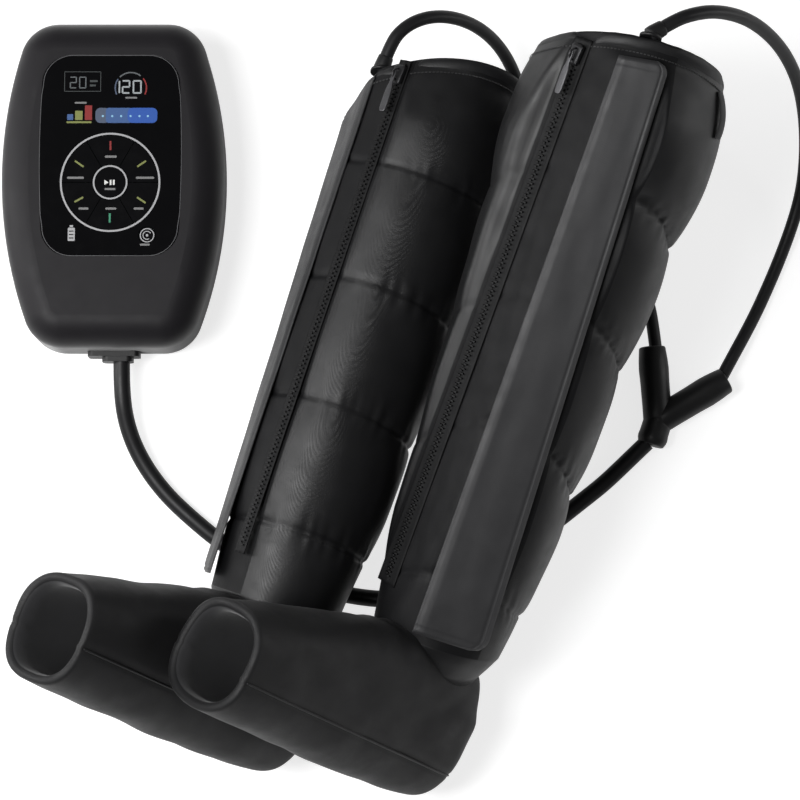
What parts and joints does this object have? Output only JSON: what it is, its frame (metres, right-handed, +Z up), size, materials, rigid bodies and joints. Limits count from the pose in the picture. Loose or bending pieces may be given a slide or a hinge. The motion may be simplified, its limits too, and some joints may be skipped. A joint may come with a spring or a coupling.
{
  "type": "compression therapy pump",
  "caption": "Table air pump with a display and key pad, joined by a hose and splitter to a pair of zipped air-chamber leg boots for compression therapy.",
  "frame": {"origin": "middle of the pump's rest face, on the surface that the whole set lies on", "axes": "+Z up out of the pump's display, +Y from the hose outlet to the pump's top edge, +X to the pump's right and towards the boots"},
  "size_m": [0.6579, 0.6237, 0.2629],
  "materials": {
    "case_plastic": "soft-touch satin",
    "foot_rubber": "matt",
    "screw_steel": "plain",
    "window_gloss": "gloss",
    "key_gloss": "gloss, printed ring and ticks",
    "board_green": "solder mask",
    "switch_metal": "plain",
    "display_emissive": "emissive segments",
    "motor_metal": "plain",
    "white_plastic": "moulded",
    "inner_silicone": "translucent",
    "battery_wrap": "shrink wrap",
    "black_plastic": "satin",
    "hose_rubber": "satin",
    "boot_satin": "coated satin weave",
    "lining_fabric": "brushed nylon",
    "bladder_film": "coated air film",
    "foot_fabric": "matt coated weave",
    "sole_fabric": "coated weave",
    "binding_fabric": "padded satin",
    "tape_fabric": "woven tape",
    "zip_plastic": "moulded coil",
    "slider_metal": "black enamel",
    "pull_metal": "grey enamel",
    "flap_fabric": "padded satin",
    "loop_webbing": "woven webbing"
  },
  "bodies": {
    "set": {"air_bladders_left": "bladder_film", "air_bladders_right": "bladder_film", "air_pumps": "motor_metal", "battery_pack": "battery_wrap", "branch_hose_left": "hose_rubber", "branch_hose_right": "hose_rubber", "case_screws": "screw_steel", "charge_port": "black_plastic", "control_board": "board_green", "display_lens": "window_gloss", "dome_switches": "switch_metal", "foot_sole_left": "sole_fabric", "foot_sole_right": "sole_fabric", "foot_upper_left": "foot_fabric", "foot_upper_right": "foot_fabric", "front_case": "case_plastic", "front_panel_left": "boot_satin", "front_panel_right": "boot_satin", "hanging_loop_left": "loop_webbing", "hanging_loop_right": "loop_webbing", "hose_plug": "black_plastic", "hose_port_left": "black_plastic", "hose_port_right": "black_plastic", "inner_tubes": "inner_silicone", "lcd_panel": "display_emissive", "leg_cover_left": "boot_satin", "leg_cover_right": "boot_satin", "leg_lining_left": "lining_fabric", "leg_lining_right": "lining_fabric", "main_hose": "hose_rubber", "outlet_socket": "black_plastic", "rear_case": "case_plastic", "rim_binding_left": "binding_fabric", "rim_binding_right": "binding_fabric", "rubber_feet": "foot_rubber", "solenoid_valves": "motor_metal", "valve_manifold": "white_plastic", "y_splitter": "black_plastic", "zip_chain_left": "zip_plastic", "zip_chain_right": "zip_plastic", "zip_tape_left": "tape_fabric", "zip_tape_right": "tape_fabric"},
    "key_top": {"key_top": "key_gloss"},
    "key_upper_right": {"key_upper_right": "key_gloss"},
    "key_lower_right": {"key_lower_right": "key_gloss"},
    "key_bottom": {"key_bottom": "key_gloss"},
    "key_lower_left": {"key_lower_left": "key_gloss"},
    "key_upper_left": {"key_upper_left": "key_gloss"},
    "key_start": {"key_start": "key_gloss"},
    "key_mode": {"key_mode": "key_gloss"},
    "slider_left": {"zip_slider_left": "slider_metal"},
    "pull_left": {"zip_pull_left": "pull_metal"},
    "flap_left_body": {"flap_left": "flap_fabric"},
    "slider_right": {"zip_slider_right": "slider_metal"},
    "pull_right": {"zip_pull_right": "pull_metal"},
    "flap_right_body": {"flap_right": "flap_fabric"}
  },
  "joints": [
    {"name": "key_top_press", "type": "slide", "parent": "set", "child": "key_top", "axis": [0, 0, -1], "range_m": [0, 0.0006], "stiffness_N_per_m": 600, "springref_m": -0.0006},
    {"name": "key_upper_right_press", "type": "slide", "parent": "set", "child": "key_upper_right", "axis": [0, 0, -1], "range_m": [0, 0.0006], "stiffness_N_per_m": 600, "springref_m": -0.0006},
    {"name": "key_lower_right_press", "type": "slide", "parent": "set", "child": "key_lower_right", "axis": [0, 0, -1], "range_m": [0, 0.0006], "stiffness_N_per_m": 600, "springref_m": -0.0006},
    {"name": "key_bottom_press", "type": "slide", "parent": "set", "child": "key_bottom", "axis": [0, 0, -1], "range_m": [0, 0.0006], "stiffness_N_per_m": 600, "springref_m": -0.0006},
    {"name": "key_lower_left_press", "type": "slide", "parent": "set", "child": "key_lower_left", "axis": [0, 0, -1], "range_m": [0, 0.0006], "stiffness_N_per_m": 600, "springref_m": -0.0006},
    {"name": "key_upper_left_press", "type": "slide", "parent": "set", "child": "key_upper_left", "axis": [0, 0, -1], "range_m": [0, 0.0006], "stiffness_N_per_m": 600, "springref_m": -0.0006},
    {"name": "key_start_press", "type": "slide", "parent": "set", "child": "key_start", "axis": [0, 0, -1], "range_m": [0, 0.0006], "stiffness_N_per_m": 600, "springref_m": -0.0006},
    {"name": "key_mode_press", "type": "slide", "parent": "set", "child": "key_mode", "axis": [0, 0, -1], "range_m": [0, 0.0006], "stiffness_N_per_m": 600, "springref_m": -0.0006},
    {"name": "zip_left_slide", "type": "slide", "parent": "set", "child": "slider_left", "axis": [-0.3186, -0.9468, -0.0448], "range_m": [0, 0.3781]},
    {"name": "zip_pull_left_swing", "type": "hinge", "parent": "slider_left", "child": "pull_left", "pos_m": [0.22819, 0.07238, 0.14369], "axis": [-0.7177, 0.2719, -0.641], "range_deg": [0, 150]},
    {"name": "flap_left_open", "type": "hinge", "parent": "set", "child": "flap_left_body", "pos_m": [0.15083, -0.11715, 0.11246], "axis": [0.313, 0.9485, 0.0482], "range_deg": [0, 85]},
    {"name": "zip_right_slide", "type": "slide", "parent": "set", "child": "slider_right", "axis": [-0.332, -0.8928, -0.3043], "range_m": [0, 0.4214]},
    {"name": "zip_pull_right_swing", "type": "hinge", "parent": "slider_right", "child": "pull_right", "pos_m": [0.36067, 0.06601, 0.24069], "axis": [-0.6236, 0.4498, -0.6394], "range_deg": [0, 150]},
    {"name": "flap_right_open", "type": "hinge", "parent": "set", "child": "flap_right_body", "pos_m": [0.31768, -0.1525, 0.19231], "axis": [-0.329, -0.9093, -0.255], "range_deg": [0, 85]}
  ]
}
